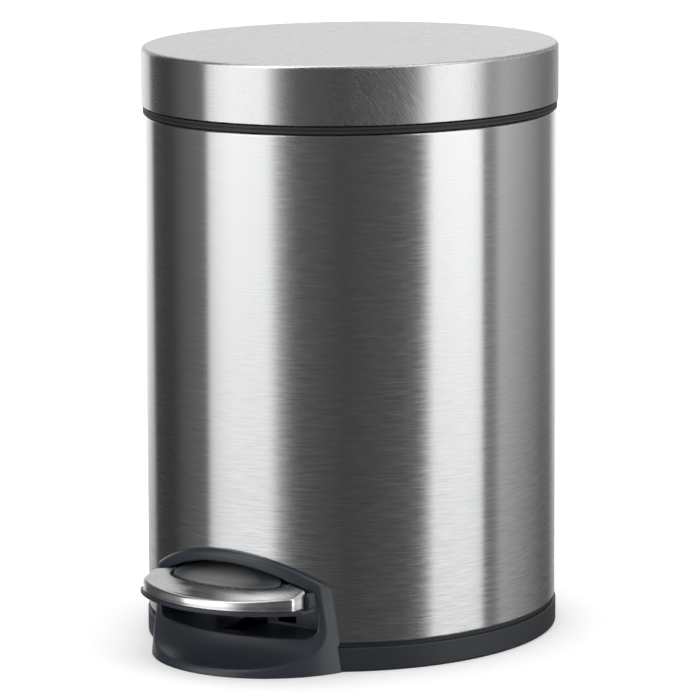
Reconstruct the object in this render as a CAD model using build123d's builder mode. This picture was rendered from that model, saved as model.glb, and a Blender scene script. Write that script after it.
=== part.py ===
from build123d import *
from math import asin, atan, cos, degrees, radians, sin
import os

# Pedal bin with an oval brushed-steel body, a hinged cap lid and a pedal at the front.
# Millimetres, +Z up. The origin is the centre of the body oval, on the surface the bin stands on.
# The pedal faces -Y, the lid hinge is at +Y, and the bin is symmetric left to right about X = 0.

# ---- driving dimensions --------------------------------------------------------------------
BODY_HALF_WIDTH = 94.4      # half axis of the body oval along X
BODY_HALF_DEPTH = 103.9     # half axis of the body oval along Y
BODY_BOTTOM = 12.9
BODY_TOP = 248.6
SHEET = 0.6                 # steel sheet thickness
CURL = 1.4                  # outside radius of the curled edges of the body
CURL_LIP = 2.2              # how far the curled edges turn inward

BASE_RING_TOP = 11.3        # the groove between base and body starts here
BASE_GROW = 0.6             # base ring stands this far outside the body
BASE_WALL = 4.6             # inner face of the base wall, inward of the body oval
BASE_FLOOR = 3.0
SPIGOT_TOP = 26.0
SPIGOT_GAP = 0.4            # between the spigot and the curled lip of the body

COLLAR_TOP = 252.2
COLLAR_GROW = 0.5
COLLAR_LEDGE = 250.2        # where the pail rim sits
LEDGE_OUTER = -4.5
LEDGE_INNER = -8.5

LID_BOTTOM = 252.6
LID_TOP = 280.0
LID_GROW = 1.05
LID_EDGE = 2.0              # radius round the top of the lid
HEM = 1.6                   # width of the hem at the mouth of the lid
LINER_TOP = 279.2
LINER_PLATE = 1.8
LINER_WALL = 2.0
ARM_PLATE_TOP = 274.0
BUFFER_INSET = -2.4

HINGE_Y = 113.0
HINGE_Z = 247.0
HINGE_PIN = 2.0             # radius
KNUCKLE = 4.5               # radius
KNUCKLE_HALF = 8.0          # half length along X
HEEL_REACH = 16.0           # from the hinge axis to the centre of the heel
HEEL_RADIUS = 3.0
LID_SWING = 80.0            # degrees

ROD_Y = 96.5
ROD_RADIUS = 1.6
ROD_PLAY = 0.6              # gap at each end of the rod when the lid is shut
ROD_TRAVEL = 2 * HEEL_REACH * sin(radians(LID_SWING / 2))

PIVOT_Y = -50.0
PIVOT_Z = 13.5
PIVOT_PIN = 2.0             # radius
PIVOT_PIN_HALF = 15.5
TIP_RADIUS = 4.0            # wear tip on the lever
BAR_WIDTH = 8.0
BAR_THICK = 3.0
BAR_BOTTOM = 10.5
BAR_FRONT = -44.0
BAR_REAR = 95.0
TIP_Z = BAR_BOTTOM + BAR_THICK / 2
TIP_HALF = 5.5

NOSE_RADIUS = 55.2          # plan of the bezel where it meets the floor
NOSE_Y = -70.2
NOSE_DRAFT = degrees(atan(0.08))
FACE_CENTRE_Y = -18.1       # the bezel face is turned about an upright axis here
FACE_RADIUS = 89.8
CHIN_RADIUS = 18.4
CHIN_LIP = 3.6
ARCH_APEX = 55.0
ARCH_CROWN = 87.0
ARCH_HALF_TOP = 48.6
ARCH_HALF_FOOT = 52.6
ARCH_CORNER = 9.0
POCKET_HALF = 44.0
POCKET_FLOOR = 16.5
POCKET_APEX = 49.5
POCKET_CROWN = 79.0
POCKET_BACK = -81.5
POCKET_CORNER = 5.0
POCKET_WALL = 1.6
WINDOW_PLAY = 0.6           # between the pocket and the window in the body
OUTER_ROUND = 2.8           # rounding of the bezel's outer rim
INNER_ROUND = 1.0
SLOT_HALF = 6.5
VENT_X = 17.8               # small windows beside the lever slot
VENT_Z = 19.6

TREAD_RADIUS = 60.7
TREAD_ARC_Y = -69.8
LIP_HALF = 46.3
SHOULDER_Y = -100.6         # the sides of the pedal end here, in front of the bezel
NECK_HALF = 33.5            # half width where the pedal enters the pocket
NECK_Y = -99.6
REAR_HALF = 21.5
TREAD_REAR = -88.0
LIP_BOTTOM = 30.2
LIP_TOP = 32.0
TREAD_EDGE = 36.8
TREAD_CROWN = 60.8          # level of the dome where it is highest, behind the pedal
CROWN_Y = 40.0              # where the dome is highest
CROWN_RADIUS = 600.0        # front to back
CROWN_REACH = 180.0         # length of the dome to each side of its crest
TREAD_TOP = 50.0            # above every part of the tread
CROWN_SIDE_RADIUS = 280.0   # side to side
CAP_HALF = 42.6
CAP_INSET = 0.7
CAP_SKIRT_DRAFT = 0.8       # how far the top edge of the skirt lies inside its foot
CAP_SHEET = 0.9
CORE_PLAY = 0.1
HOLLOW_INSET = 5.1          # hollow under the carrier
HOLLOW_DEPTH = 4.0
ROOT_TOP = LIP_BOTTOM + HOLLOW_DEPTH + 0.5
END_HALF = 44.5             # black ends of the carrier beside the metal cap
END_FRONT = -102.6
END_REAR = -97.4
END_TOP = 38.8
PAD_HALF_WIDTH = 29.5
PAD_HALF_DEPTH = 11.0
PAD_Y = -104.1
PAD_GAP = 1.0
PAD_PROUD = 0.5

PAIL_TOP_WIDTH = 85.0       # half axes of the pail wall, outside
PAIL_TOP_DEPTH = 93.6
PAIL_TAPER = 5.0
PAIL_BOTTOM = 53.5
PAIL_WALL = 1.8
PAIL_RIM = 1.5
BAIL_WIRE = 1.5             # radius
BAIL_INSET = -8.0
BAIL_Z = COLLAR_TOP + 1.5

PAIL_TOP = COLLAR_TOP - 0.2
RIM_PLAY = 1.4              # between the pail's rim and the ledge around it
RIM_REAR = 93.1             # straight rear edge of the pail's rim
EAR_X = 82.0
EAR_RISE = 4.2
FOOT_BOTTOM = TIP_Z + TIP_RADIUS + ROD_PLAY
FOOT_CUP = 2.5              # solid bottom of the rod's foot
HEEL_START = HINGE_Z - HEEL_REACH * sin(radians(LID_SWING / 2))
HEAD_TOP = HEEL_START - HEEL_RADIUS - ROD_PLAY
HEAD_HEIGHT = 11.0
HEAD_CAP = 3.0              # solid top of the rod's head
GUIDE_HEIGHT = 10.0

HOUSING_HALF = 23.0
HOUSING_BOTTOM = 208.0
HOUSING_TOP = 251.6
HOUSING_BACK = 119.6
HOUSING_SKIN = 1.6
KNUCKLE_ROOM = 224.0        # lowest level of the pocket that the knuckle turns in
ARM_BOTTOM = 249.4
ARM_SHEET = 3.0
ARM_HALF = 10.0
UPRIGHT_Y = 95.2            # front face of the arm's upright
ARM_FRONT = 62.0

COVER_FRONT = -36.0         # lever cover
COVER_REAR = 84.0
COVER_HALF = 11.0
COVER_SHEET = 1.5
COVER_LOW = 24.0
COVER_HIGH = 39.0

POST_X = 11.8               # bearing posts of the lever
POST_WIDTH = 7.0
POST_DEPTH = 17.0
CAP_HEIGHT = 6.5

SCREW_HEAD = 2.6            # radius
SCREW_SHANK = 1.4
SLACK = 0.3                 # gap between parts that move past each other
FIT = 0.08                  # radial play of a pin in its bore

os.makedirs("parts", exist_ok=True)

UP = (0, 0, 1)
BACKWARD = (0, 1, 0)
ON_TOP = (Align.CENTER, Align.CENTER, Align.MIN)
BELOW = (Align.CENTER, Align.CENTER, Align.MAX)


def save(builder, node_name):
    """Name a finished piece and write it."""
    builder.part.label = node_name
    export_step(builder.part, f"parts/{node_name}.step")


def oval_sketch(grow, height):
    """The body oval grown outward, at a height."""
    with BuildSketch(Plane.XY.offset(height)) as outline:
        Ellipse(BODY_HALF_WIDTH + grow, BODY_HALF_DEPTH + grow)
    return outline.sketch


def oval_disc(bottom, top, grow, mode=Mode.ADD):
    """A prism of the grown body oval."""
    extrude(oval_sketch(grow, bottom), amount=top - bottom, mode=mode)


def oval_ring(bottom, top, outer, inner):
    """A ring between two grown body ovals."""
    with BuildSketch(Plane.XY.offset(bottom)) as ring:
        Ellipse(BODY_HALF_WIDTH + outer, BODY_HALF_DEPTH + outer)
        Ellipse(BODY_HALF_WIDTH + inner, BODY_HALF_DEPTH + inner, mode=Mode.SUBTRACT)
    extrude(ring.sketch, amount=top - bottom)


def box_between(low, high, mode=Mode.ADD):
    """A box from its lowest to its highest corner."""
    size = [h - l for l, h in zip(low, high)]
    middle = [(h + l) / 2 for l, h in zip(low, high)]
    with Locations(tuple(middle)):
        Box(*size, mode=mode)


def cross_pin(y, z, radius, half_length, mode=Mode.ADD):
    """A cylinder along X, centred on X = 0."""
    with Locations(Plane(origin=(0, y, z), z_dir=(1, 0, 0))):
        Cylinder(radius, 2 * half_length, mode=mode)


def drill(spots, direction, radius, depth):
    """Blind holes that open towards a direction."""
    for spot in spots:
        with Locations(Plane(origin=spot, z_dir=direction)):
            Cylinder(radius, depth, align=BELOW, mode=Mode.SUBTRACT)


def screws(spots, direction, length, head_height=1.6):
    """Cross-head screws whose heads sit on the spots and point to a direction."""
    for spot in spots:
        with Locations(Plane(origin=spot, z_dir=direction)):
            Cylinder(SCREW_HEAD, head_height, align=ON_TOP)
            Cylinder(SCREW_SHANK, length, align=BELOW)
        top = tuple(s + d * head_height for s, d in zip(spot, direction))
        with Locations(Plane(origin=top, z_dir=direction)):
            Box(3.2, 0.7, 0.9, align=BELOW, mode=Mode.SUBTRACT)
            Box(0.7, 3.2, 0.9, align=BELOW, mode=Mode.SUBTRACT)


# ---- fastener places -----------------------------------------------------------------------
BEZEL_SCREWS = [(side * 30.0, -92.6, 7.0) for side in (-1, 1)]
CAP_SCREWS = {
    side: [(side * POST_X, PIVOT_Y + step, PIVOT_Z + CAP_HEIGHT) for step in (-5.2, 5.2)]
    for side in (-1, 1)
}
COVER_SCREWS = [(side * 14.0, y, BASE_FLOOR + 1.5) for side in (-1, 1) for y in (-20.0, 60.0)]
CARRIER_SCREWS = [(0, y, 17.5) for y in (-38.5, -30.5)]
HOUSING_SCREWS = [(side * 15.0, 101.2, 222.0) for side in (-1, 1)]
ARM_SCREWS = [(side * 6.5, y, ARM_PLATE_TOP - ARM_SHEET) for side in (-1, 1) for y in (68.0, 84.0)]
BUFFER_ANGLES = (35, 145, 215, 325)


# ---- outline shared by the body window and the bezel -----------------------------------------
def arch_sketch(apex, crown, half_top, half_foot, foot, corner, foot_corner=0):
    """Front outline with an arched top, on the XZ plane."""
    shoulder = apex - crown + (crown ** 2 - half_top ** 2) ** 0.5
    with BuildSketch(Plane.XZ) as outline:
        with BuildLine():
            Polyline((half_top, shoulder), (half_foot, foot), (-half_foot, foot), (-half_top, shoulder))
            ThreePointArc((-half_top, shoulder), (0, apex), (half_top, shoulder))
        make_face()
        fillet(outline.vertices().sort_by(Axis.Y)[-2:], corner)
        if foot_corner:
            fillet(outline.vertices().sort_by(Axis.Y)[:2], foot_corner)
    return outline.sketch


window_grow = POCKET_WALL + WINDOW_PLAY
window_half = POCKET_HALF + window_grow
pocket_window = arch_sketch(
    POCKET_APEX + window_grow, POCKET_CROWN + window_grow, window_half, window_half, 0,
    POCKET_CORNER + POCKET_WALL,
)


# ---- body shell: rolled steel tube with curled edges ---------------------------------------
with BuildPart() as body_shell:
    oval_disc(BODY_BOTTOM, BODY_TOP, 0)
    fillet(body_shell.edges().group_by(Axis.Z)[0] + body_shell.edges().group_by(Axis.Z)[-1], CURL)
    oval_disc(BODY_BOTTOM + SHEET, BODY_TOP - SHEET, -SHEET, mode=Mode.SUBTRACT)
    oval_disc(BODY_BOTTOM - 1, BODY_TOP + 1, -CURL_LIP, mode=Mode.SUBTRACT)
    # window behind the bezel, for the pocket the pedal stands in
    extrude(pocket_window, amount=2 * BODY_HALF_DEPTH, mode=Mode.SUBTRACT)
    drill(HOUSING_SCREWS, (0, -1, 0), SCREW_SHANK, 12.0)
    # slot for the heel of the lid arm
    box_between((-11, 60, 226), (11, 2 * BODY_HALF_DEPTH, BODY_TOP + 1), mode=Mode.SUBTRACT)
save(body_shell, "body_shell")


# ---- top collar: plastic ring with two fine ridges, seat for the pail ----------------------
with BuildPart() as top_collar:
    oval_ring(248.8, COLLAR_TOP, COLLAR_GROW - 0.5, LEDGE_INNER)
    for ridge in (249.0, 250.9):
        oval_ring(ridge, ridge + 1.1, COLLAR_GROW, LEDGE_INNER)
    oval_disc(COLLAR_LEDGE, COLLAR_TOP + 1, LEDGE_OUTER, mode=Mode.SUBTRACT)
    oval_ring(238.0, 248.8, -CURL_LIP - SPIGOT_GAP, -CURL_LIP - SPIGOT_GAP - 2.0)
    box_between((-11, 60, 230), (11, 2 * BODY_HALF_DEPTH, COLLAR_TOP + 1), mode=Mode.SUBTRACT)
save(top_collar, "top_collar")


# ---- base tray: ring, floor, spigot and bearing posts --------------------------------------
with BuildPart() as base_tray:
    oval_disc(0, BASE_RING_TOP, BASE_GROW)
    fillet(base_tray.edges().group_by(Axis.Z)[0], 1.0)
    fillet(base_tray.edges().group_by(Axis.Z)[-1], 0.6)
    oval_disc(BASE_RING_TOP, BODY_BOTTOM - 0.1, -1.6)
    oval_disc(BODY_BOTTOM - 0.1, SPIGOT_TOP, -CURL_LIP - SPIGOT_GAP)
    oval_disc(BASE_FLOOR, SPIGOT_TOP + 1, -BASE_WALL, mode=Mode.SUBTRACT)
    # relief for the pedal pocket and for the rod at the back
    box_between((-46.5, -120, BASE_RING_TOP), (46.5, -79, SPIGOT_TOP + 1), mode=Mode.SUBTRACT)
    box_between((-8, 90, BASE_RING_TOP), (8, 120, SPIGOT_TOP + 1), mode=Mode.SUBTRACT)
    box_between((-7, 90, BASE_FLOOR), (7, 101.6, SPIGOT_TOP + 1), mode=Mode.SUBTRACT)
    # posts that carry the pivot pin
    for side in (-1, 1):
        with Locations((side * POST_X, PIVOT_Y, BASE_FLOOR)):
            Box(POST_WIDTH, POST_DEPTH, PIVOT_Z - BASE_FLOOR, align=ON_TOP)
        drill(CAP_SCREWS[side], UP, SCREW_SHANK, 13.0)
    cross_pin(PIVOT_Y, PIVOT_Z, PIVOT_PIN, 30, mode=Mode.SUBTRACT)
    drill(COVER_SCREWS, UP, SCREW_SHANK, 3.2)
    drill(BEZEL_SCREWS, BACKWARD, SCREW_SHANK, 20.0)
    # seats for the bezel screw heads, flat against the curved wall
    for x, y, z in BEZEL_SCREWS:
        with Locations(Plane(origin=(x, y, z), z_dir=BACKWARD)):
            Cylinder(SCREW_HEAD + 0.4, 6.0, align=ON_TOP, mode=Mode.SUBTRACT)
    # groove for the anti-slip ring, open underneath
    with BuildSketch(Plane.XY):
        Ellipse(BODY_HALF_WIDTH - 8, BODY_HALF_DEPTH - 8)
        Ellipse(BODY_HALF_WIDTH - 14, BODY_HALF_DEPTH - 14, mode=Mode.SUBTRACT)
    extrude(amount=1.4, mode=Mode.SUBTRACT)
save(base_tray, "base_tray")


# ---- anti-slip ring in the underside of the base -------------------------------------------
with BuildPart() as anti_slip_ring:
    oval_ring(0, 1.35, -8.05, -13.95)
save(anti_slip_ring, "anti_slip_ring")


# ---- pedal bezel: drafted nose, scooped chin, arch and pocket ------------------------------
def pocket_tool(apex, crown, half, floor, corner, back):
    """The arched block that forms the pocket, from its back wall forward."""
    outline = arch_sketch(apex, crown, half, half, floor, corner, corner)
    with BuildPart() as block:
        extrude(outline, amount=130)
        box_between((-60, back, 0), (60, 10, 70), mode=Mode.SUBTRACT)
    return block.part


pocket_skin = pocket_tool(
    POCKET_APEX + POCKET_WALL,
    POCKET_CROWN + POCKET_WALL,
    POCKET_HALF + POCKET_WALL,
    POCKET_FLOOR - POCKET_WALL,
    POCKET_CORNER + POCKET_WALL,
    POCKET_BACK + POCKET_WALL,
)
pocket_hollow = pocket_tool(
    POCKET_APEX, POCKET_CROWN, POCKET_HALF, POCKET_FLOOR, POCKET_CORNER, POCKET_BACK
)


def turn_radius(point):
    """Distance of a point from the upright axis that the face of the bezel is turned about."""
    return (point.X ** 2 + (point.Y - FACE_CENTRE_Y) ** 2) ** 0.5


def on_face_edge(edge):
    """True for an edge whose ends lie on the turned face and whose middle is not behind it."""
    ends_on_face = all(abs(turn_radius(edge @ end) - FACE_RADIUS) < 0.05 for end in (0, 1))
    return ends_on_face and turn_radius(edge @ 0.5) > FACE_RADIUS - 0.05


def on_outer_rim(edge):
    """True for the outer rim of the bezel, without the line where the chin leaves the face."""
    return on_face_edge(edge) and abs((edge @ 0.5).Z - CHIN_LIP - CHIN_RADIUS) > 0.05


with BuildPart() as pedal_bezel:
    with BuildSketch():
        with Locations((0, NOSE_Y)):
            Circle(NOSE_RADIUS)
    extrude(amount=ARCH_APEX + 5, taper=NOSE_DRAFT)
    outer_arch = arch_sketch(ARCH_APEX, ARCH_CROWN, ARCH_HALF_TOP, ARCH_HALF_FOOT, 0, ARCH_CORNER)
    extrude(outer_arch, amount=2 * BODY_HALF_DEPTH, mode=Mode.INTERSECT)
    oval_disc(-1, BASE_RING_TOP + 1, BASE_GROW + 0.2, mode=Mode.SUBTRACT)
    oval_disc(BASE_RING_TOP, ARCH_APEX + 10, 0.15, mode=Mode.SUBTRACT)
    add(pocket_skin)
    # the face of the arch and the chin under the opening, turned about one upright axis
    with BuildSketch(Plane(origin=(0, FACE_CENTRE_Y, 0), x_dir=(1, 0, 0), z_dir=(0, -1, 0))):
        chin_start = (FACE_RADIUS + CHIN_RADIUS, CHIN_LIP)
        chin_end = (FACE_RADIUS, CHIN_LIP + CHIN_RADIUS)
        with BuildLine():
            Polyline(chin_end, (FACE_RADIUS, 70), (0, 70), (0, 0), (115, 0), (115, CHIN_LIP), chin_start)
            TangentArc(chin_start, chin_end, tangent=(-1, 0))
        make_face()
    revolve(axis=Axis((0, FACE_CENTRE_Y, 0), (0, 0, 1)), mode=Mode.INTERSECT)
    fillet(pedal_bezel.edges().filter_by(on_outer_rim), OUTER_ROUND)
    add(pocket_hollow, mode=Mode.SUBTRACT)
    fillet(pedal_bezel.edges(Select.LAST).filter_by(on_face_edge), INNER_ROUND)
    # slot for the lever, and a window on each side of it
    box_between((-SLOT_HALF, -102, 8), (SLOT_HALF, -70, 28.5), mode=Mode.SUBTRACT)
    for side in (-1, 1):
        with Locations((side * VENT_X, POCKET_BACK, VENT_Z)):
            Box(10.2, 8.0, 3.4, mode=Mode.SUBTRACT)
    drill(BEZEL_SCREWS, BACKWARD, SCREW_SHANK, 16.0)
save(pedal_bezel, "pedal_bezel")


# ---- pedal carrier: plastic lip, core and lever root ---------------------------------------
def tread_sketch(inset, half, height):
    """Plan of the pedal: a wide arc in front, short sides, and a neck that enters the pocket."""
    neck = NECK_HALF - inset
    back = REAR_HALF - inset
    rear = TREAD_REAR - inset
    with BuildSketch(Plane.XY.offset(height)) as outline:
        with Locations((0, TREAD_ARC_Y)):
            Circle(TREAD_RADIUS - inset)
        with BuildSketch(mode=Mode.INTERSECT):
            with BuildLine():
                Polyline(
                    (half, -150), (half, SHOULDER_Y - inset), (neck, NECK_Y - inset), (back, rear),
                    (-back, rear), (-neck, NECK_Y - inset), (-half, SHOULDER_Y - inset), (-half, -150),
                    close=True,
                )
            make_face()
        fillet(outline.vertices().group_by(Axis.Y)[0], 5.0 - 0.5 * inset)
        fillet(outline.vertices().group_by(Axis.Y)[-1], 3.0)
    return outline.sketch


def dome(top):
    """A large barrel whose crest has the pedal's double curvature."""
    axis_z = top - CROWN_SIDE_RADIUS
    crest = -CROWN_SIDE_RADIUS
    with BuildPart() as barrel:
        # the half profile lies under the axis, so that the barrel's seam is far from the pedal
        with BuildSketch(Plane(origin=(0, CROWN_Y, axis_z), x_dir=(0, 1, 0), z_dir=(1, 0, 0))):
            with BuildLine():
                end = CROWN_REACH
                low = crest + CROWN_RADIUS - (CROWN_RADIUS ** 2 - end ** 2) ** 0.5
                ThreePointArc((-end, low), (0, crest), (end, low))
                Polyline((end, low), (end, crest + 100), (-end, crest + 100), (-end, low))
            make_face()
        revolve(axis=Axis((0, 0, axis_z), (0, 1, 0)))
    return barrel.part


def tread_block(inset, half, sink):
    """The pedal plan drawn up to the domed top, sunk below it by an amount."""
    draft = degrees(atan(CAP_SKIRT_DRAFT / (TREAD_EDGE - LIP_TOP)))
    low_plan = tread_sketch(inset, half, LIP_TOP)
    crest = dome(TREAD_CROWN - sink)
    with BuildPart() as block:
        extrude(low_plan, amount=TREAD_TOP - LIP_TOP, taper=draft)
        add(crest, mode=Mode.INTERSECT)
    return block.part


cap_outside = tread_block(CAP_INSET, CAP_HALF, 0)
cap_inside = tread_block(CAP_INSET + CAP_SHEET, CAP_HALF - CAP_SHEET, CAP_SHEET)
core_sheet = CAP_SHEET + CORE_PLAY
core_block = tread_block(CAP_INSET + core_sheet, CAP_HALF - core_sheet, core_sheet)

carrier_ends = []
for side in (-1, 1):
    with BuildPart() as end_block:
        with Locations((side * (CAP_HALF + CORE_PLAY + END_HALF) / 2, (END_FRONT + END_REAR) / 2, LIP_TOP)):
            Box(END_HALF - CAP_HALF - CORE_PLAY, END_REAR - END_FRONT, END_TOP - LIP_TOP, align=ON_TOP)
        fillet(end_block.edges().filter_by(Axis.X).group_by(Axis.Z)[-1], 2.0)
    carrier_ends.append(end_block.part)

with BuildPart() as pedal_carrier:
    extrude(tread_sketch(0, LIP_HALF, LIP_BOTTOM), amount=LIP_TOP - LIP_BOTTOM)
    add(core_block)
    # rounded ends beside the metal cap
    add(carrier_ends)
    # hollow underneath, open downwards
    extrude(tread_sketch(HOLLOW_INSET, CAP_HALF - 2.6, LIP_BOTTOM), amount=HOLLOW_DEPTH, mode=Mode.SUBTRACT)
    # arm from the tread through the slot to the pivot and on to the bar
    with BuildSketch(Plane.YZ):
        with BuildLine():
            Polyline(
                (-116, ROOT_TOP), (-116, LIP_BOTTOM + 0.4), (-100, 24.3), (-83, 17.2), (-53, 9.3),
                (-47, 9.3), (-44.5, 13.6), (-26, 13.6), (-26, 17.5), (-47, 17.5), (-80, 24.5),
                (-92, 31.6), (-92, ROOT_TOP), close=True,
            )
        make_face()
    extrude(amount=BAR_WIDTH / 2, both=True)
    cross_pin(PIVOT_Y, PIVOT_Z, 5.0, 7.6)
    cross_pin(PIVOT_Y, PIVOT_Z, PIVOT_PIN + FIT, 20, mode=Mode.SUBTRACT)
    drill(CARRIER_SCREWS, UP, SCREW_SHANK, 8.0)
save(pedal_carrier, "pedal_carrier")


# ---- pedal cap: polished steel cover with an oval opening ----------------------------------
with BuildPart() as pedal_cap:
    add(cap_outside)
    add(cap_inside, mode=Mode.SUBTRACT)
    with BuildSketch(Plane.XY.offset(LIP_TOP)):
        with Locations((0, PAD_Y)):
            Ellipse(PAD_HALF_WIDTH + PAD_GAP, PAD_HALF_DEPTH + PAD_GAP)
    extrude(amount=20, mode=Mode.SUBTRACT)
save(pedal_cap, "pedal_cap")


# ---- pedal pad: rubber tread ---------------------------------------------------------------
pad_crest = dome(TREAD_CROWN + PAD_PROUD)

with BuildPart() as pedal_pad:
    with BuildSketch(Plane.XY.offset(LIP_TOP)):
        with Locations((0, PAD_Y)):
            Ellipse(PAD_HALF_WIDTH, PAD_HALF_DEPTH)
    extrude(amount=TREAD_TOP - LIP_TOP)
    add(pad_crest, mode=Mode.INTERSECT)
    add(core_block, mode=Mode.SUBTRACT)
save(pedal_pad, "pedal_pad")


# ---- lever: bar, screws, wear tip, pivot pin and its bearing caps --------------------------
with BuildPart() as lever_bar:
    box_between((-BAR_WIDTH / 2, BAR_FRONT, BAR_BOTTOM), (BAR_WIDTH / 2, BAR_REAR, BAR_BOTTOM + BAR_THICK))
    fillet(lever_bar.edges().filter_by(Axis.Z), 1.5)
    drill([(x, y, BAR_BOTTOM + BAR_THICK) for x, y, z in CARRIER_SCREWS], UP, SCREW_SHANK, 10)
save(lever_bar, "lever_bar")

with BuildPart() as carrier_screws:
    screws(CARRIER_SCREWS, UP, 7.5)
save(carrier_screws, "carrier_screws")

with BuildPart() as lever_tip:
    cross_pin(ROD_Y, TIP_Z, TIP_RADIUS, TIP_HALF)
    box_between((-TIP_HALF, ROD_Y - 10, TIP_Z - 3), (TIP_HALF, ROD_Y, TIP_Z + 3))
    add(lever_bar.part, mode=Mode.SUBTRACT)
save(lever_tip, "lever_tip")

with BuildPart() as lever_pivot_pin:
    cross_pin(PIVOT_Y, PIVOT_Z, PIVOT_PIN, PIVOT_PIN_HALF)
    chamfer(lever_pivot_pin.edges().filter_by(GeomType.CIRCLE), 0.4)
save(lever_pivot_pin, "lever_pivot_pin")

for side, name in ((-1, "left"), (1, "right")):
    with BuildPart() as pivot_cap:
        with Locations((side * POST_X, PIVOT_Y, PIVOT_Z)):
            Box(POST_WIDTH, POST_DEPTH, CAP_HEIGHT, align=ON_TOP)
        fillet(pivot_cap.edges().filter_by(Axis.X).group_by(Axis.Z)[-1], 2.0)
        cross_pin(PIVOT_Y, PIVOT_Z, PIVOT_PIN, 30, mode=Mode.SUBTRACT)
        drill(CAP_SCREWS[side], UP, SCREW_SHANK, 10)
    save(pivot_cap, f"pivot_cap_{name}")

with BuildPart() as pivot_cap_screws:
    screws(CAP_SCREWS[-1] + CAP_SCREWS[1], UP, 12.0)
save(pivot_cap_screws, "pivot_cap_screws")

with BuildPart() as bezel_screws:
    screws(BEZEL_SCREWS, BACKWARD, 15.0)
save(bezel_screws, "bezel_screws")


# ---- lever cover: inverted channel that rises towards the back -----------------------------
with BuildPart() as lever_cover:
    with BuildSketch(Plane.YZ):
        with BuildLine():
            Polyline(
                (COVER_FRONT, BASE_FLOOR), (COVER_REAR, BASE_FLOOR), (COVER_REAR, COVER_HIGH),
                (COVER_FRONT, COVER_LOW), close=True,
            )
        make_face()
    extrude(amount=COVER_HALF, both=True)
    fillet(lever_cover.edges().group_by(Axis.X)[0].sort_by(Axis.Z)[-1], 2.5)
    fillet(lever_cover.edges().group_by(Axis.X)[-1].sort_by(Axis.Z)[-1], 2.5)
    with BuildSketch(Plane.YZ):
        with BuildLine():
            Polyline(
                (COVER_FRONT - 5, 0), (COVER_REAR + 5, 0), (COVER_REAR + 5, COVER_HIGH - COVER_SHEET + 0.5),
                (COVER_FRONT - 5, COVER_LOW - COVER_SHEET - 0.5), close=True,
            )
        make_face()
    extrude(amount=COVER_HALF - COVER_SHEET, both=True, mode=Mode.SUBTRACT)
    for x, y, z in COVER_SCREWS:
        with Locations((x, y, BASE_FLOOR)):
            Box(8.0, 9.0, 1.5, align=ON_TOP)
    under = COVER_HALF - COVER_SHEET
    box_between((-under, -60, 0), (under, 100, 10), mode=Mode.SUBTRACT)
    drill(COVER_SCREWS, UP, SCREW_SHANK, 5)
save(lever_cover, "lever_cover")

with BuildPart() as cover_screws:
    screws(COVER_SCREWS, UP, 3.0)
save(cover_screws, "cover_screws")


# ---- push rod with its foot, head and guides -----------------------------------------------
with BuildPart() as rod_foot:
    with Locations((0, ROD_Y, FOOT_BOTTOM)):
        Cylinder(3.6, 8.0, align=ON_TOP)
        Cylinder(5.0, 2.0, align=ON_TOP)
    with Locations((0, ROD_Y, FOOT_BOTTOM + FOOT_CUP)):
        Cylinder(ROD_RADIUS, 10.0, align=ON_TOP, mode=Mode.SUBTRACT)
save(rod_foot, "rod_foot")

with BuildPart() as push_rod:
    with Locations((0, ROD_Y, FOOT_BOTTOM + FOOT_CUP)):
        Cylinder(ROD_RADIUS, HEAD_TOP - HEAD_CAP - FOOT_BOTTOM - FOOT_CUP, align=ON_TOP)
save(push_rod, "push_rod")

with BuildPart() as rod_head:
    box_between((-5, 94.6, HEAD_TOP - HEAD_HEIGHT), (5, 101.7, HEAD_TOP))
    fillet(rod_head.edges().filter_by(Axis.Z), 1.2)
    with Locations((0, ROD_Y, HEAD_TOP - HEAD_CAP)):
        Cylinder(ROD_RADIUS, 12.0, align=BELOW, mode=Mode.SUBTRACT)
save(rod_head, "rod_head")

for name, height in (("lower", 70.0), ("upper", 190.0)):
    with BuildPart() as rod_guide:
        box_between((-8, 94.0, height), (8, 110, height + GUIDE_HEIGHT))
        with BuildSketch(Plane.XY.offset(height)):
            Ellipse(BODY_HALF_WIDTH - SHEET - 0.1, BODY_HALF_DEPTH - SHEET - 0.1)
        extrude(amount=GUIDE_HEIGHT, mode=Mode.INTERSECT)
        with Locations((0, ROD_Y, height)):
            Cylinder(ROD_RADIUS + SLACK, GUIDE_HEIGHT, align=ON_TOP, mode=Mode.SUBTRACT)
    save(rod_guide, f"rod_guide_{name}")


# ---- hinge at the back: housing, screws, pin, lid arm --------------------------------------
with BuildPart() as hinge_housing:
    box_between((-HOUSING_HALF, 80, HOUSING_BOTTOM), (HOUSING_HALF, HOUSING_BACK, HOUSING_TOP))
    chamfer(hinge_housing.edges().group_by(Axis.Z)[0].sort_by(Axis.Y)[-1], 9.0)
    fillet(hinge_housing.edges().filter_by(Axis.Z).group_by(Axis.Y)[-1], 5.0)
    fillet(hinge_housing.edges().group_by(Axis.Z)[-1].sort_by(Axis.Y)[-1], 1.5)
    oval_disc(HOUSING_BOTTOM - 5, BODY_TOP, 0.1, mode=Mode.SUBTRACT)
    oval_disc(BODY_TOP, HOUSING_TOP + 5, COLLAR_GROW + 0.4, mode=Mode.SUBTRACT)
    room = KNUCKLE_HALF + 2 * SLACK
    box_between((-room, 90, KNUCKLE_ROOM), (room, 130, HOUSING_TOP + 5), mode=Mode.SUBTRACT)
    box_between((-room, HOUSING_BACK - HOUSING_SKIN, KNUCKLE_ROOM), (room, HOUSING_BACK, 238))
    cross_pin(HINGE_Y, HINGE_Z, HINGE_PIN, HOUSING_HALF - 3, mode=Mode.SUBTRACT)
    drill(HOUSING_SCREWS, (0, -1, 0), SCREW_SHANK, 12.0)
save(hinge_housing, "hinge_housing")

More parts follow.
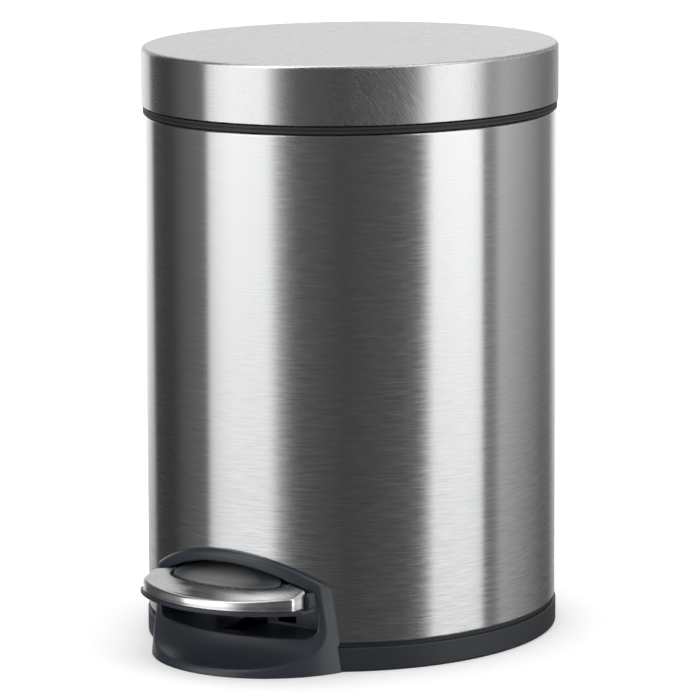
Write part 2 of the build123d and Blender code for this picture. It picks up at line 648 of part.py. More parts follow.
with BuildPart() as hinge_pin:
    cross_pin(HINGE_Y, HINGE_Z, HINGE_PIN, HOUSING_HALF - 3)
save(hinge_pin, "hinge_pin")

with BuildPart() as lid_hinge_arm:
    cross_pin(HINGE_Y, HINGE_Z, KNUCKLE, KNUCKLE_HALF)
    upright_back = UPRIGHT_Y + ARM_SHEET
    plate_bottom = ARM_PLATE_TOP - ARM_SHEET
    box_between((-KNUCKLE_HALF, UPRIGHT_Y, ARM_BOTTOM), (KNUCKLE_HALF, HINGE_Y, COLLAR_TOP))
    box_between((-KNUCKLE_HALF, UPRIGHT_Y, ARM_BOTTOM), (KNUCKLE_HALF, upright_back, ARM_PLATE_TOP))
    box_between((-ARM_HALF, ARM_FRONT, plate_bottom), (ARM_HALF, upright_back, ARM_PLATE_TOP))
    # heel that the push rod lifts
    heel_y = HINGE_Y - HEEL_REACH * cos(radians(LID_SWING / 2))
    with BuildSketch(Plane.YZ):
        with BuildLine():
            Polyline(
                (HINGE_Y - 1, HINGE_Z - KNUCKLE + 0.5), (HINGE_Y - 1, HINGE_Z + 2),
                (heel_y - 1.9, HEEL_START + 2.2), (heel_y + 0.2, HEEL_START - 0.2), close=True,
            )
        make_face()
        with Locations((heel_y, HEEL_START)):
            Circle(HEEL_RADIUS)
    extrude(amount=4.0, both=True)
    cross_pin(HINGE_Y, HINGE_Z, HINGE_PIN + FIT, 20, mode=Mode.SUBTRACT)
    drill([(x, y, ARM_PLATE_TOP + 1) for x, y, z in ARM_SCREWS], UP, SCREW_SHANK, 10)
save(lid_hinge_arm, "lid_hinge_arm")

with BuildPart() as housing_screws:
    screws(HOUSING_SCREWS, (0, -1, 0), 12.0)
save(housing_screws, "housing_screws")


# ---- lid: steel cap, plastic liner, arm screws, rubber buffers -----------------------------
with BuildPart() as lid_shell:
    oval_disc(LID_BOTTOM, LID_TOP, LID_GROW)
    fillet(lid_shell.edges().group_by(Axis.Z)[-1], LID_EDGE)
    fillet(lid_shell.edges().group_by(Axis.Z)[0], 0.5)
    oval_disc(LID_BOTTOM + SHEET, LID_TOP - SHEET, LID_GROW - SHEET, mode=Mode.SUBTRACT)
    oval_disc(LID_BOTTOM - 1, LID_BOTTOM + 1, LID_GROW - HEM, mode=Mode.SUBTRACT)
save(lid_shell, "lid_shell")


def buffer_spots(height):
    """Where the rubber buffers sit, round the mouth of the lid."""
    spots = []
    for angle in BUFFER_ANGLES:
        turn = radians(angle)
        x = (BODY_HALF_WIDTH + BUFFER_INSET) * cos(turn)
        y = (BODY_HALF_DEPTH + BUFFER_INSET) * sin(turn)
        spots.append((x, y, height))
    return spots


with BuildPart() as lid_liner:
    oval_disc(LID_BOTTOM + 0.9, LINER_TOP, -1.0)
    fillet(lid_liner.edges().group_by(Axis.Z)[-1], LID_EDGE)
    oval_disc(LID_BOTTOM, LINER_TOP - LINER_PLATE, -1.0 - LINER_WALL, mode=Mode.SUBTRACT)
    with Locations(*buffer_spots(LID_BOTTOM + 0.9)):
        Cylinder(2.1, 8.0, align=ON_TOP)
    drill(buffer_spots(LID_BOTTOM + 3.9), (0, 0, 1), 1.5, 6.0)
    with Locations(*[(x, y, ARM_PLATE_TOP) for x, y, z in ARM_SCREWS]):
        Cylinder(3.2, LINER_TOP - 1 - ARM_PLATE_TOP, align=ON_TOP)
    drill([(x, y, LINER_TOP - 0.8) for x, y, z in ARM_SCREWS], UP, SCREW_SHANK, 8.0)
    # relief for the upright of the lid arm
    box_between((-11, 88, LID_BOTTOM), (11, upright_back + 0.4, ARM_PLATE_TOP + 0.1), mode=Mode.SUBTRACT)
save(lid_liner, "lid_liner")

with BuildPart() as lid_arm_screws:
    screws(ARM_SCREWS, (0, 0, -1), 7.0)
save(lid_arm_screws, "lid_arm_screws")

with BuildPart() as lid_buffers:
    with Locations(*buffer_spots(COLLAR_TOP + 0.1)):
        Cylinder(1.5, LID_BOTTOM + 3.9 - COLLAR_TOP - 0.1, align=ON_TOP)
save(lid_buffers, "lid_buffers")


# ---- pail and its bail ---------------------------------------------------------------------
def pail_cone(shrink, bottom):
    """The tapered oval of the pail, from a height up to its rim."""
    narrowing = shrink + PAIL_TAPER * (PAIL_TOP - bottom) / (PAIL_TOP - PAIL_BOTTOM)
    with BuildPart() as cone:
        with BuildSketch(Plane.XY.offset(bottom)):
            Ellipse(PAIL_TOP_WIDTH - narrowing, PAIL_TOP_DEPTH - narrowing)
        with BuildSketch(Plane.XY.offset(PAIL_TOP)):
            Ellipse(PAIL_TOP_WIDTH - shrink, PAIL_TOP_DEPTH - shrink)
        loft(ruled=True)
    return cone.part


pail_outside = pail_cone(0, PAIL_BOTTOM)
pail_inside = pail_cone(PAIL_WALL, PAIL_BOTTOM + PAIL_WALL)

with BuildPart() as inner_bucket:
    add(pail_outside)
    oval_disc(PAIL_TOP - PAIL_RIM, PAIL_TOP, LEDGE_OUTER - RIM_PLAY)
    # the rim is cut straight at the back, clear of the lid arm
    box_between((-60, RIM_REAR, PAIL_TOP - 5), (60, 110, PAIL_TOP + 5), mode=Mode.SUBTRACT)
    # ears for the bail
    for side in (-1, 1):
        box_between((side * EAR_X - 2, -4, PAIL_TOP - 1), (side * EAR_X + 2, 4, PAIL_TOP + EAR_RISE))
    add(pail_inside, mode=Mode.SUBTRACT)
    cross_pin(0, BAIL_Z, BAIL_WIRE + FIT, 100, mode=Mode.SUBTRACT)
save(inner_bucket, "inner_bucket")

bail_half = BODY_HALF_WIDTH + BAIL_INSET

with BuildPart() as bail_handle:
    with BuildLine() as bail_path:
        EllipticalCenterArc(
            (0, 0, BAIL_Z), bail_half, BODY_HALF_DEPTH + BAIL_INSET, start_angle=180, arc_size=180
        )
    with BuildSketch(Plane(origin=bail_path.line @ 0, z_dir=bail_path.line % 0)):
        Circle(BAIL_WIRE)
    sweep()
    for side in (-1, 1):
        with Locations((side * bail_half, 0, BAIL_Z)):
            Sphere(BAIL_WIRE)
        with Locations(Plane(origin=(side * bail_half, 0, BAIL_Z), z_dir=(-side, 0, 0))):
            Cylinder(BAIL_WIRE, 8.0, align=ON_TOP)
save(bail_handle, "bail_handle")
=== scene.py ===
import bpy
from math import asin, atan2, cos, pi, radians, sin, sqrt
from mathutils import Matrix, Vector


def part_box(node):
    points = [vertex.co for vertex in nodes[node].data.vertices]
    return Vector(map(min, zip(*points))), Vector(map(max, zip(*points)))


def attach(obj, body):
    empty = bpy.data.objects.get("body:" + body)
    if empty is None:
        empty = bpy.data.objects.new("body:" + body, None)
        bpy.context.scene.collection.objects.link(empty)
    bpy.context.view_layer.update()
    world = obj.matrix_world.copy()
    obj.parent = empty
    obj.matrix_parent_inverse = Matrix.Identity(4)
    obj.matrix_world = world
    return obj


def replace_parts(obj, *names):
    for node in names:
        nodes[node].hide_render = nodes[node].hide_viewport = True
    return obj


# Looks for the oval pedal bin. Metres, +Z up, the pedal faces -Y and the lid hinge is at +Y.

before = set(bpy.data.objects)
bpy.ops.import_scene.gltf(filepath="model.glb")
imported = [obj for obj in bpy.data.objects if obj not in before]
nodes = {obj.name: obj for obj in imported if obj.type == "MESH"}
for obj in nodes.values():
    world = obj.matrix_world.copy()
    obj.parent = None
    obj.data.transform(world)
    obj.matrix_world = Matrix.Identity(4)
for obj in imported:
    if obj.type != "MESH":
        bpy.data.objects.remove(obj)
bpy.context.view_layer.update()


# ---- small helpers for node trees ----------------------------------------------------------
class Tree:
    """A material's node tree, with short calls for the nodes used here."""

    def __init__(self, name):
        self.material = bpy.data.materials.new(name)
        self.material.use_nodes = True
        self.nodes = self.material.node_tree.nodes
        self.links = self.material.node_tree.links
        self.shader = self.nodes["Principled BSDF"]
        self.place = self.nodes.new("ShaderNodeTexCoord").outputs["Object"]

    def link(self, source, target):
        self.links.new(source, target)

    def set(self, **values):
        """Sets plain numbers and colours on the shader's own sockets."""
        for key, value in values.items():
            self.shader.inputs[key.replace("_", " ")].default_value = value

    def stretch(self, vector, scale):
        """Coordinates stretched per axis."""
        node = self.nodes.new("ShaderNodeMapping")
        node.inputs["Scale"].default_value = scale
        self.link(vector, node.inputs["Vector"])
        return node.outputs["Vector"]

    def noise(self, vector, scale=1.0, detail=3.0, rough=0.6):
        node = self.nodes.new("ShaderNodeTexNoise")
        node.inputs["Scale"].default_value = scale
        node.inputs["Detail"].default_value = detail
        node.inputs["Roughness"].default_value = rough
        self.link(vector, node.inputs["Vector"])
        return node.outputs["Fac"]

    def cells(self, vector, scale):
        """Distance to the middle of the nearest cell."""
        node = self.nodes.new("ShaderNodeTexVoronoi")
        node.inputs["Scale"].default_value = scale
        self.link(vector, node.inputs["Vector"])
        return node.outputs["Distance"]

    def span(self, value, low, high, from_low=0.0, from_high=1.0):
        """A value mapped from one range to another, clamped."""
        node = self.nodes.new("ShaderNodeMapRange")
        node.inputs["From Min"].default_value = from_low
        node.inputs["From Max"].default_value = from_high
        node.inputs["To Min"].default_value = low
        node.inputs["To Max"].default_value = high
        self.link(value, node.inputs["Value"])
        return node.outputs["Result"]

    def math(self, operation, a, b=None):
        """A sum on plain numbers or sockets."""
        node = self.nodes.new("ShaderNodeMath")
        node.operation = operation
        for socket, value in zip(node.inputs, (a, b)):
            if value is None:
                continue
            if isinstance(value, (int, float)):
                socket.default_value = value
            else:
                self.link(value, socket)
        return node.outputs["Value"]

    def vector(self, operation, a, b=None, scale=None):
        """A sum on vectors: tuples or sockets."""
        node = self.nodes.new("ShaderNodeVectorMath")
        node.operation = operation
        for socket, value in zip(node.inputs, (a, b)):
            if value is None:
                continue
            if isinstance(value, tuple):
                socket.default_value = value
            else:
                self.link(value, socket)
        if scale is not None:
            self.link(scale, node.inputs["Scale"])
        return node.outputs["Value" if operation == "DOT_PRODUCT" else "Vector"]

    def blend(self, factor, low, high):
        """A colour between two colours."""
        node = self.nodes.new("ShaderNodeMix")
        node.data_type = "RGBA"
        # the mix node's colour sockets come after its number and vector sockets
        for socket, colour in ((node.inputs[6], low), (node.inputs[7], high)):
            socket.default_value = (*colour, 1)
        self.link(factor, node.inputs[0])
        return node.outputs[2]

    def bump(self, height, strength, distance, normal=None):
        """The surface normal, or the one given, tilted by a height."""
        node = self.nodes.new("ShaderNodeBump")
        node.inputs["Strength"].default_value = strength
        node.inputs["Distance"].default_value = distance
        self.link(height, node.inputs["Height"])
        if normal is not None:
            self.link(normal, node.inputs["Normal"])
        return node.outputs["Normal"]

    def rounded(self, radius):
        """The surface normal with sharp edges softened over a small radius."""
        node = self.nodes.new("ShaderNodeBevel")
        node.samples = 8
        node.inputs["Radius"].default_value = radius
        return node.outputs["Normal"]

    def turned(self, vector, kind, source, target):
        """A vector or normal carried between the object's frame and the world's."""
        node = self.nodes.new("ShaderNodeVectorTransform")
        node.vector_type = kind
        node.convert_from = source
        node.convert_to = target
        self.link(vector, node.inputs["Vector"])
        return node.outputs["Vector"]

    def oval_wall(self, name):
        """The outward direction of an oval piece, and its normal made exact on the upright walls.

        A mesh normal there is a blend between facets, which would make the reflected bands waver."""
        low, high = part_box(name)
        squash = (4 / (high.x - low.x) ** 2, 4 / (high.y - low.y) ** 2, 0)
        outward = self.vector("NORMALIZE", self.vector("MULTIPLY", self.place, squash))
        surface = self.nodes.new("ShaderNodeNewGeometry").outputs["Normal"]
        surface = self.turned(surface, "NORMAL", "WORLD", "OBJECT")
        facing = self.vector("DOT_PRODUCT", surface, outward)
        upright = self.span(self.math("ABSOLUTE", facing), 0, 1, 0.94, 0.98)
        wall = self.vector("SCALE", outward, scale=self.math("SIGN", facing))
        change = self.vector("SCALE", self.vector("SUBTRACT", wall, surface), scale=upright)
        return outward, self.vector("NORMALIZE", self.vector("ADD", surface, change))

    def finish(self, colour, roughness, normal, tangent=None):
        """Links the values to the shader and returns the material."""
        for socket, value in (
            ("Base Color", colour),
            ("Roughness", roughness),
            ("Normal", normal),
            ("Tangent", tangent),
        ):
            if isinstance(value, tuple):
                node = self.nodes.new("ShaderNodeCombineXYZ")
                for slot, part in zip(node.inputs, value):
                    slot.default_value = part
                value = node.outputs["Vector"]
            if value is not None:
                self.link(value, self.shader.inputs[socket])
        return self.material


# ---- materials: scales are waves per metre --------------------------------------------------
LID_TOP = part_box("lid_shell")[1].z
STREAKS = (1500.0, 93.75)   # across and along the brushing
BANDS = (240.0, 6.0)
STREAK_SHARE = 0.85
PLASTIC_GRAIN = 1800.0
PLASTIC_EDGE = 0.0006
RUBBER_GRAIN = 1500.0
RUBBER_EDGE = 0.0008
STEEL_EDGE = 0.0011
# the pad's painted highlight: its middle and its reach along each axis
PAINTED_HIGHLIGHT = ((-0.001, -0.108, 0.043), (0.022, 0.012, 0.010))


def brushing(t, flat, scales, contrast, rough_low, rough_high):
    """Colour and roughness of brushed sheet: fine streaks over slower bands."""
    streak = t.noise(t.stretch(flat, scales(*STREAKS)), detail=2.0)
    streak = t.span(streak, 0, 1, 0.30, 0.70)
    band = t.noise(t.stretch(flat, scales(*BANDS)), detail=2.0)
    both = t.math(
        "ADD",
        t.math("MULTIPLY", streak, STREAK_SHARE),
        t.math("MULTIPLY", band, 1 - STREAK_SHARE),
    )
    both = t.span(both, 0.5 - contrast / 2, 0.5 + contrast / 2)
    colour = t.blend(both, (0.60, 0.605, 0.62), (0.83, 0.835, 0.835))
    return colour, t.span(both, rough_low, rough_high, 0.3, 0.7)


def brushed_body():
    """Stainless sheet brushed round the oval: fine level streaks, and a sheen drawn out upright."""
    t = Tree("brushed_body")
    t.set(Metallic=1.0, Anisotropic=1.0)
    normal = t.oval_wall("body_shell")[1]
    colour, rough = brushing(t, t.place, lambda fine, slow: (slow, slow, fine), 0.6, 0.19, 0.26)
    return t.finish(colour, rough, normal, (0, 0, 1))


def brushed_lid():
    """Stainless sheet brushed before it was drawn: the grain runs along X and turns down the skirt."""
    t = Tree("brushed_lid")
    t.set(Metallic=1.0, Anisotropic=1.0)
    outward, surface = t.oval_wall("lid_shell")
    around = t.vector("CROSS_PRODUCT", (0, 0, 1), outward)
    down = t.vector("CROSS_PRODUCT", around, surface)
    part_around = t.vector("DOT_PRODUCT", around, (1, 0, 0))
    part_out = t.vector("DOT_PRODUCT", outward, (1, 0, 0))
    grain = t.vector(
        "ADD",
        t.vector("SCALE", around, scale=part_around),
        t.vector("SCALE", down, scale=part_out),
    )
    across = t.vector("CROSS_PRODUCT", surface, grain)
    # the place on the flat sheet before drawing
    parts = t.nodes.new("ShaderNodeSeparateXYZ")
    t.link(t.place, parts.inputs["Vector"])
    depth = t.math("MAXIMUM", t.math("SUBTRACT", LID_TOP, parts.outputs["Z"]), 0.0)
    flat = t.vector("ADD", t.place, t.vector("SCALE", outward, scale=depth))
    colour, rough = brushing(t, flat, lambda fine, slow: (slow, fine, 0), 0.9, 0.22, 0.28)
    # the sheen lies across the grain on top, and leans towards upright on the drawn skirt
    level = t.vector("DOT_PRODUCT", surface, (0, 0, 1))
    sheen = t.vector(
        "ADD",
        t.vector("SCALE", across, scale=t.span(level, 0.4, 1.0)),
        t.vector("SCALE", down, scale=t.span(level, -0.6, 0.0)),
    )
    normal = t.turned(surface, "NORMAL", "OBJECT", "WORLD")
    return t.finish(colour, rough, normal, t.turned(sheen, "VECTOR", "OBJECT", "WORLD"))


def polished_steel():
    """Bright cap metal with faint polishing haze."""
    t = Tree("polished_steel")
    t.set(Metallic=1.0)
    haze = t.noise(t.stretch(t.place, (60, 200, 200)))
    colour = t.blend(haze, (0.66, 0.66, 0.67), (0.76, 0.76, 0.755))
    return t.finish(colour, t.span(haze, 0.14, 0.30, 0.3, 0.7), t.rounded(STEEL_EDGE))


def plated_steel():
    """Zinc-plated wire, pins and screws."""
    t = Tree("plated_steel")
    t.set(Metallic=1.0)
    cloud = t.noise(t.place, 400.0, 4.0)
    colour = t.blend(cloud, (0.50, 0.51, 0.53), (0.68, 0.69, 0.70))
    return t.finish(colour, t.span(cloud, 0.22, 0.42), t.bump(cloud, 0.1, 0.00005))


def moulded_plastic(name, dark, light, rough_low, rough_high):
    """Moulded plastic with a fine spark-eroded grain and faint flow variation."""
    t = Tree(name)
    t.set(IOR=1.5)
    fine = t.noise(t.place, PLASTIC_GRAIN)
    flow = t.noise(t.place, 14.0, 2.0)
    colour = t.blend(flow, dark, light)
    rough = t.span(fine, rough_low, rough_high, 0.3, 0.7)
    return t.finish(colour, rough, t.bump(fine, 0.12, 0.0001, t.rounded(PLASTIC_EDGE)))


def rubber(name, dark, light, rough_low, rough_high, painted_highlight=None):
    """Matte black rubber with a pebbled skin, lighter about a painted highlight if one is given."""
    t = Tree(name)
    t.set(IOR=1.45)
    pebble = t.cells(t.place, RUBBER_GRAIN)
    dust_and_highlight = t.noise(t.place, 30.0)
    if painted_highlight is not None:
        middle, reach = painted_highlight
        # painted highlight: the colour turns lighter towards the middle of the given place
        away = t.vector("DIVIDE", t.vector("SUBTRACT", t.place, middle), reach)
        near = t.span(t.vector("DOT_PRODUCT", away, away), 1, 0, 0, 1)
        dust_and_highlight = t.math("MULTIPLY", near, t.span(dust_and_highlight, 0.7, 1.0))
    colour = t.blend(dust_and_highlight, dark, light)
    rough = t.span(pebble, rough_low, rough_high)
    return t.finish(colour, rough, t.bump(pebble, 0.35, 0.0003, t.rounded(RUBBER_EDGE)))


BRUSHED_BODY = brushed_body()
BRUSHED_LID = brushed_lid()
POLISHED = polished_steel()
PLATED = plated_steel()
BASE_PLASTIC = moulded_plastic("base_plastic", (0.014, 0.017, 0.021), (0.019, 0.023, 0.028), 0.40, 0.52)
BEZEL_PLASTIC = moulded_plastic("bezel_plastic", (0.019, 0.023, 0.031), (0.026, 0.031, 0.040), 0.27, 0.37)
INNER_PLASTIC = moulded_plastic("inner_plastic", (0.020, 0.020, 0.022), (0.030, 0.030, 0.032), 0.40, 0.55)
RUBBER = rubber("rubber", (0.010, 0.010, 0.012), (0.022, 0.022, 0.025), 0.55, 0.75)
# the pad's light colour is a painted highlight, strongest in the middle of the tread
PAD_RUBBER = rubber("pad_rubber", (0.050, 0.054, 0.058), (0.26, 0.26, 0.26), 0.38, 0.55, PAINTED_HIGHLIGHT)

FINISH = {
    "body_shell": BRUSHED_BODY,
    "lid_shell": BRUSHED_LID,
    "pedal_cap": POLISHED,
    "pedal_bezel": BEZEL_PLASTIC,
    "pedal_carrier": BEZEL_PLASTIC,
    "pedal_pad": PAD_RUBBER,
    "anti_slip_ring": RUBBER,
    "lid_buffers": RUBBER,
    "base_tray": BASE_PLASTIC,
    "top_collar": BASE_PLASTIC,
    "hinge_housing": BASE_PLASTIC,
}
SLOT_FINISH = {
    "plated_steel": PLATED,
    "pail_plastic": INNER_PLASTIC,
    "black_plastic": INNER_PLASTIC,
    "black_rubber": RUBBER,
}
for name, piece in nodes.items():
    for place in piece.material_slots:
        place.material = FINISH.get(name) or SLOT_FINISH[place.material.name.split(".")[0]]


# ---- pedal cover and tread, rebuilt with pressed and moulded edges --------------------------
COVER_LOW, COVER_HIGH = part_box("pedal_cap")
COVER_HALF = COVER_HIGH.x
COVER_FOOT = COVER_LOW.z
COVER_CORNERS = [(COVER_HALF, -0.1013), (0.0328, -0.1003), (0.0208, COVER_HIGH.y)]
TREAD_CENTRE = Vector((0, -0.0698))     # of the arc along the front of the cover
TREAD_RADIUS = 0.0600
CROWN = Vector((0, 0.0400, 0.0608))     # where the dome would be highest
CROWN_RADII = (0.280, 0.600)            # side to side, front to back
SHEET = 0.0009
SKIRT_DRAFT = 0.0001
EDGE_ROUND = 0.0014
BEAD = 0.00045                          # radius of the rolled hem
BEAD_PROUD = 0.4                        # share of it that stands out of the skirt
HEM_TURN = 150                          # degrees the hem rolls through
HEM_STEPS = 8
EDGE_STEPS = 9
TOP_STEPS = 12                          # from the rounded edge to the opening
LIP_ROUND = 0.00015                     # at the edge of the oval opening
CORNER_RELIEF = 0.0004                  # thinning of the sheet inside the rounded edge
PAD_LOW, PAD_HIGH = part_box("pedal_pad")
PAD_CENTRE = Vector((0, (PAD_LOW.y + PAD_HIGH.y) / 2))
PAD_HALF = (PAD_HIGH.x, (PAD_HIGH.y - PAD_LOW.y) / 2)
PAD_GAP = 0.0010
PAD_PROUD = 0.0005
PAD_DISH = 0.0009
PAD_ROUND = 0.0009
PAD_FOOT_INSET = 0.0004
PAD_FOOT_RISE = 0.0002
ROUND_STEPS = 6
DISH_STEPS = 15
AROUND = 256                            # points in each ring
ARC_STEPS = 60                          # in each half of the front arc
OUTLINE_STEP = 0.0002
SOFTENING = 7                           # outline points averaged to each side


def crown_height(spot):
    """Level of the domed top, an arc turned about an axis that runs front to back."""
    across, along = CROWN_RADII
    reach = across - along + sqrt(along ** 2 - (spot.y - CROWN.y) ** 2)
    return CROWN.z - across + sqrt(reach ** 2 - spot.x ** 2)


def dense_loop(corners, step):
    """A closed loop through corners, sampled at an even step."""
    loop = []
    for start, end in zip(corners, corners[1:] + corners[:1]):
        count = max(1, round((end - start).length / step))
        loop += [start.lerp(end, k / count) for k in range(count)]
    return loop


def softened(loop, reach):
    """Each point moved to the mean of its neighbours along the loop."""
    count = len(loop)
    return [
        sum((loop[(k + j) % count] for j in range(-reach, reach + 1)), Vector((0, 0))) / (2 * reach + 1)
        for k in range(count)
    ]


def cover_outline():
    """Plan of the steel cover, anticlockwise, with softened corners."""
    widest = asin(COVER_HALF / TREAD_RADIUS)
    arc = [
        TREAD_CENTRE + TREAD_RADIUS * Vector((sin(turn), -cos(turn)))
        for turn in (widest * (k / ARC_STEPS - 1) for k in range(2 * ARC_STEPS + 1))
    ]
    right = [Vector(corner) for corner in COVER_CORNERS]
    left = [Vector((-x, y)) for x, y in reversed(COVER_CORNERS)]
    fine = dense_loop(arc + right + left, OUTLINE_STEP)
    fine = softened(softened(fine, SOFTENING), SOFTENING)
    return [fine[k * len(fine) // AROUND] for k in range(AROUND)]


def outward_of(loop):
    """Unit normals of a closed anticlockwise loop."""
    normals = []
    for k in range(len(loop)):
        along = (loop[(k + 1) % len(loop)] - loop[k - 1]).normalized()
        normals.append(Vector((along.y, -along.x)))
    return normals


def pad_loop(guide, grow):
    """The oval of the pad, grown by a margin, one point for each point of a guide loop."""
    points = []
    for spot in guide:
        turn = atan2((spot.y - PAD_CENTRE.y) / PAD_HALF[1], spot.x / PAD_HALF[0])
        oval = Vector(((PAD_HALF[0] + grow) * cos(turn), (PAD_HALF[1] + grow) * sin(turn)))
        points.append(PAD_CENTRE + oval)
    return points


def ring_piece(name, rings, joined, finish):
    """A smooth mesh through rings of points; its section is closed, or ends in two flat caps."""
    mesh = bpy.data.meshes.new(name)
    count = len(rings[0])
    points = [tuple(point) for ring in rings for point in ring]
    faces = []
    for level in range(len(rings) - (0 if joined else 1)):
        upper = (level + 1) % len(rings)
        for k in range(count):
            nxt = (k + 1) % count
            faces.append(
                (level * count + k, level * count + nxt, upper * count + nxt, upper * count + k)
            )
    if not joined:
        faces.append(tuple(reversed(range(count))))
        faces.append(tuple(range((len(rings) - 1) * count, len(rings) * count)))
    mesh.from_pydata(points, [], faces)
    mesh.update()
    mesh.shade_smooth()
    mesh.materials.append(finish)
    piece = bpy.data.objects.new(name, mesh)
    bpy.context.scene.collection.objects.link(piece)
    return piece


def raised(loop, lift):
    """A plan loop lifted onto the dome, or by a little more or less."""
    return [Vector((spot.x, spot.y, crown_height(spot) + lift)) for spot in loop]


def steel_cover():
    """The pressed cover: a rolled hem, a drafted skirt, a rounded edge and an oval opening."""
    outline = cover_outline()
    normals = outward_of(outline)

    def inset(distance):
        """The outline moved inwards."""
        return [spot - normal * distance for spot, normal in zip(outline, normals)]

    rings = []
    for step in range(HEM_STEPS + 1):
        turn = radians(-90 + HEM_TURN * step / HEM_STEPS)
        level = COVER_FOOT + BEAD * (1 + sin(turn))
        rings.append([Vector((*spot, level)) for spot in inset(BEAD * (1 - BEAD_PROUD - cos(turn)))])
    edge = SKIRT_DRAFT + EDGE_ROUND
    rim, opening = inset(edge), pad_loop(outline, PAD_GAP)
    for step in range(EDGE_STEPS + 1):
        turn = radians(90 * step / EDGE_STEPS)
        drop = EDGE_ROUND * (1 - sin(turn))
        shifted = inset(edge - EDGE_ROUND * cos(turn))
        rings.append([Vector((*spot, crown_height(top) - drop)) for spot, top in zip(shifted, rim)])
    for step in range(1, TOP_STEPS + 1):
        share = step / TOP_STEPS
        rings.append(raised([a.lerp(b, share) for a, b in zip(rim, opening)], 0))
    lip = pad_loop(outline, PAD_GAP - LIP_ROUND)
    rings.append(raised(lip, -LIP_ROUND))
    rings.append(raised(lip, -SHEET))
    inner = inset(edge + SHEET)
    rings.append(raised([a.lerp(b, 0.5) for a, b in zip(opening, inner)], -SHEET))
    rings.append(raised(inner, -SHEET - CORNER_RELIEF))
    rings.append([Vector((*spot, COVER_FOOT)) for spot in inset(SHEET)])
    cover = ring_piece("pedal_cover", rings, True, POLISHED)
    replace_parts(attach(cover, "pedal"), "pedal_cap")


def rubber_tread():
    """The oval tread pad: a moulded rim around a shallow dish."""
    turns = [2 * pi * k / AROUND for k in range(AROUND)]
    guide = [PAD_CENTRE + Vector((PAD_HALF[0] * cos(turn), PAD_HALF[1] * sin(turn))) for turn in turns]
    rings = [
        raised(pad_loop(guide, -PAD_FOOT_INSET), -SHEET),
        raised(pad_loop(guide, 0), PAD_FOOT_RISE - SHEET),
    ]
    for step in range(ROUND_STEPS + 1):
        turn = radians(90 * step / ROUND_STEPS)
        grown = pad_loop(guide, PAD_ROUND * (cos(turn) - 1))
        rings.append(raised(grown, PAD_PROUD - PAD_ROUND * (1 - sin(turn))))
    rim = pad_loop(guide, -PAD_ROUND)
    for step in range(1, DISH_STEPS):
        share = step / DISH_STEPS
        lift = PAD_PROUD - PAD_DISH * (1 - (1 - share) ** 2) ** 2
        rings.append(raised([PAD_CENTRE + (spot - PAD_CENTRE) * (1 - share) for spot in rim], lift))
    pad = ring_piece("pedal_tread", rings, False, PAD_RUBBER)
    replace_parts(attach(pad, "pedal"), "pedal_pad")


steel_cover()
rubber_tread()


# ---- stage: floor, studio and camera -------------------------------------------------------
FLOOR_REACH = 12.0


def pale_floor():
    """A plain white floor, which the steel's reflections leave out."""
    mesh = bpy.data.meshes.new("floor")
    signs = [(-1, -1), (1, -1), (1, 1), (-1, 1)]
    corners = [(x * FLOOR_REACH, y * FLOOR_REACH, 0) for x, y in signs]
    mesh.from_pydata(corners, [], [(0, 1, 2, 3)])
    floor = bpy.data.objects.new("floor", mesh)
    bpy.context.scene.collection.objects.link(floor)
    material = bpy.data.materials.new("floor_paper")
    material.use_nodes = True
    shader = material.node_tree.nodes["Principled BSDF"]
    shader.inputs["Base Color"].default_value = (0.95, 0.95, 0.95, 1)
    shader.inputs["Roughness"].default_value = 1.0
    shader.inputs["Specular IOR Level"].default_value = 0.0
    shader.inputs["Emission Color"].default_value = (1, 1, 1, 1)
    shader.inputs["Emission Strength"].default_value = 0.08
    mesh.materials.append(material)
    floor.visible_glossy = False


# Brightness of the studio as the steel sees it, by direction round the bin in degrees from +X.
STUDIO = [
    (-180, 0.045),
    (-172, 0.05),
    (-160, 0.105),
    (-144, 0.15),
    (-140, 0.20),
    (-137, 0.82),
    (-130, 1.02),
    (-120, 1.12),
    (-98, 1.08),
    (-95, 1.02),
    (-88, 0.40),
    (-82, 0.17),
    (-76, 0.10),
    (-50, 0.062),
    (-18, 0.085),
    (-9, 0.13),
    (-4.5, 0.42),
    (0, 1.10),
    (18, 1.16),
    (28, 1.12),
    (30.5, 0.22),
    (36.5, 0.21),
    (42, 0.48),
    (62, 0.31),
    (80, 0.155),
    (93, 0.16),
    (104, 0.48),
    (125, 0.66),
    (142, 0.66),
    (156, 0.50),
    (162, 0.06),
    (180, 0.045),
]
# Share of that brightness by height of the direction: the panels stand on the table and lean in.
STUDIO_RISE = [
    (-1.0, 0.12),
    (-0.30, 0.20),
    (-0.22, 0.40),
    (-0.14, 1.76),
    (0.14, 1.86),
    (0.30, 1.10),
    (0.55, 0.90),
    (0.75, 2.20),
    (1.0, 2.20),
]
# The white table adds a little to the lowest directions, in full from the second height down.
TABLE_GLOW = 0.03
GLOW_HEIGHTS = (-0.22, -0.40)
# Everything but a reflection sees an even white surround.
SURROUND = 1.25


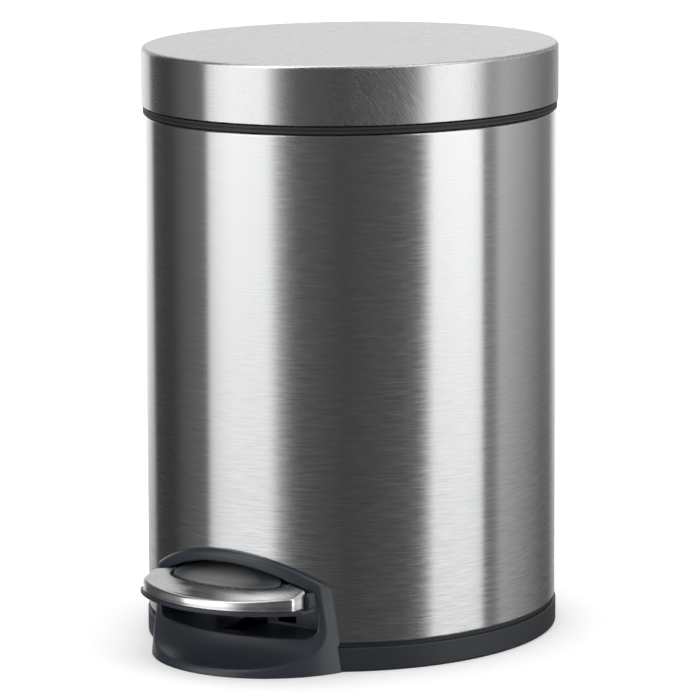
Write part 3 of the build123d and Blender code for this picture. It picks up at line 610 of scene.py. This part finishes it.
class World:
    """The world's node tree, with short calls for the nodes used here."""

    def __init__(self):
        world = bpy.data.worlds.new("studio")
        bpy.context.scene.world = world
        world.use_nodes = True
        world.cycles.sampling_method = "NONE"
        world.node_tree.nodes.clear()
        self.add = world.node_tree.nodes.new
        self.link = world.node_tree.links.new

    def fraction(self, value, low, high, top=1.0):
        """A value's way from low to high, clamped, as a share of top."""
        node = self.add("ShaderNodeMapRange")
        node.inputs["From Min"].default_value = low
        node.inputs["From Max"].default_value = high
        node.inputs["To Max"].default_value = top
        self.link(value, node.inputs["Value"])
        return node.outputs["Result"]

    def stepped(self, factor, steps):
        """A grey level read off a list of places and levels."""
        ramp = self.add("ShaderNodeValToRGB")
        self.link(factor, ramp.inputs["Fac"])
        low, high = steps[0][0], steps[-1][0]
        stops = ramp.color_ramp.elements
        while len(stops) < len(steps):
            stops.new(0.5)
        for stop, (place, level) in zip(stops, steps):
            stop.position = (place - low) / (high - low)
            stop.color = (level, level, level, 1)
        return ramp.outputs["Color"]

    def light(self, level):
        """A grey background of a plain level."""
        node = self.add("ShaderNodeBackground")
        node.inputs["Color"].default_value = (level, level, level, 1)
        return node


def studio_world():
    """Panels all round for reflections, and an even surround for everything else."""
    w = World()
    parts = w.add("ShaderNodeSeparateXYZ")
    w.link(w.add("ShaderNodeTexCoord").outputs["Generated"], parts.inputs["Vector"])
    turn = w.add("ShaderNodeMath")
    turn.operation = "ARCTAN2"
    w.link(parts.outputs["Y"], turn.inputs[0])
    w.link(parts.outputs["X"], turn.inputs[1])
    rise = parts.outputs["Z"]

    panels = w.light(1)
    around = w.stepped(w.fraction(turn.outputs["Value"], -pi, pi), STUDIO)
    w.link(around, panels.inputs["Color"])
    w.link(w.stepped(w.fraction(rise, -1, 1), STUDIO_RISE), panels.inputs["Strength"])
    table = w.light(1)
    w.link(w.fraction(rise, *GLOW_HEIGHTS, TABLE_GLOW), table.inputs["Strength"])
    both = w.add("ShaderNodeAddShader")
    for source, socket in zip((panels, table), both.inputs):
        w.link(source.outputs["Background"], socket)

    mix = w.add("ShaderNodeMixShader")
    w.link(w.add("ShaderNodeLightPath").outputs["Is Glossy Ray"], mix.inputs["Fac"])
    w.link(w.light(SURROUND).outputs["Background"], mix.inputs[1])
    w.link(both.outputs["Shader"], mix.inputs[2])
    w.link(mix.outputs["Shader"], w.add("ShaderNodeOutputWorld").inputs["Surface"])


AZIMUTH = 33.8              # degrees from the front, towards +X
ELEVATION = 9.73            # degrees
ROLL = -0.22                # degrees
DISTANCE = 2.096
TARGET = Vector((0, 0, 0.14))
LENS = 225.9                # millimetres
SHIFT = (-0.0025, -0.0217)


def aim_camera():
    """A long lens from the front right, a little above the bin."""
    azimuth, elevation, roll = radians(AZIMUTH), radians(ELEVATION), radians(ROLL)
    forward = Vector((-sin(azimuth) * cos(elevation), cos(azimuth) * cos(elevation), -sin(elevation)))
    right = Vector((cos(azimuth), sin(azimuth), 0))
    up = right.cross(forward)
    rolled_right = right * cos(roll) + up * sin(roll)
    rolled_up = up * cos(roll) - right * sin(roll)
    lens = bpy.data.cameras.new("camera")
    lens.lens = LENS
    lens.shift_x, lens.shift_y = SHIFT
    lens.clip_start = 0.1
    lens.clip_end = 100.0
    camera = bpy.data.objects.new("camera", lens)
    bpy.context.scene.collection.objects.link(camera)
    turned = Matrix((rolled_right, rolled_up, -forward)).transposed().to_4x4()
    camera.matrix_world = Matrix.Translation(TARGET - forward * DISTANCE) @ turned
    bpy.context.scene.camera = camera


pale_floor()
studio_world()
aim_camera()
bpy.context.scene.view_settings.view_transform = "Standard"
